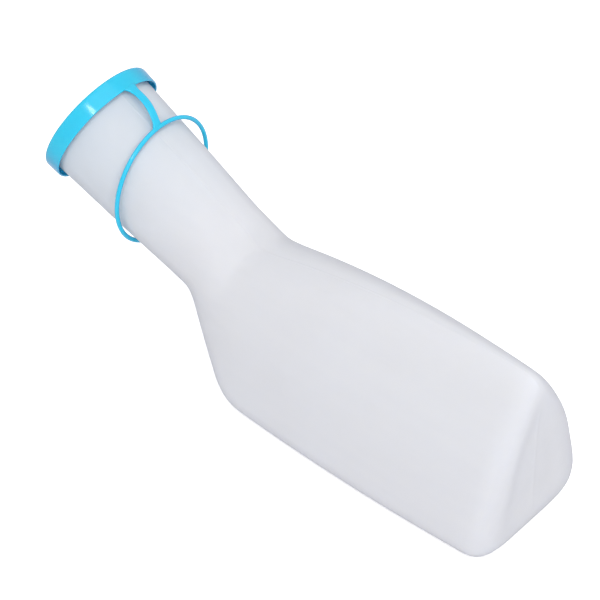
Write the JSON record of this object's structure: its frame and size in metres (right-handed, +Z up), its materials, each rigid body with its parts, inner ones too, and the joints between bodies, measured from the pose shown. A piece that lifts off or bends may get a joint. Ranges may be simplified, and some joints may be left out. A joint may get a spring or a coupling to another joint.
{
  "type": "urine bottle",
  "caption": "Lying urine bottle with a flat belly, a flat standing end, a bent round neck and a round lid held by a short strap and a loose neck ring.",
  "frame": {"origin": "on the flat belly the bottle lies on, midway along the body and in its plane of symmetry", "axes": "+Z up, away from the belly; +X towards the flat end the bottle stands on; the neck leaves towards -X and leans 23.3 degrees up"},
  "size_m": [0.2777, 0.0796, 0.1211],
  "materials": {
    "milky_plastic": "milky translucent blow-moulded polyethylene, satin",
    "blue_plastic": "bright blue moulded soft polyethylene, semi-gloss"
  },
  "bodies": {
    "bottle": {"bottle": "milky_plastic"},
    "neck_ring": {"neck_ring": "blue_plastic", "strap": "blue_plastic"},
    "lid": {"lid": "blue_plastic"}
  },
  "joints": [
    {"name": "ring_turn", "type": "hinge", "parent": "bottle", "child": "neck_ring", "pos_m": [-0.18224, 0, 0.09199], "axis": [-0.9184, 0, 0.3955], "continuous": true},
    {"name": "lid_swing", "type": "hinge", "parent": "neck_ring", "child": "lid", "pos_m": [-0.16196, 0.00448, 0.11798], "axis": [-0.055, 0.9903, -0.1278], "range_deg": [0, 150]}
  ]
}
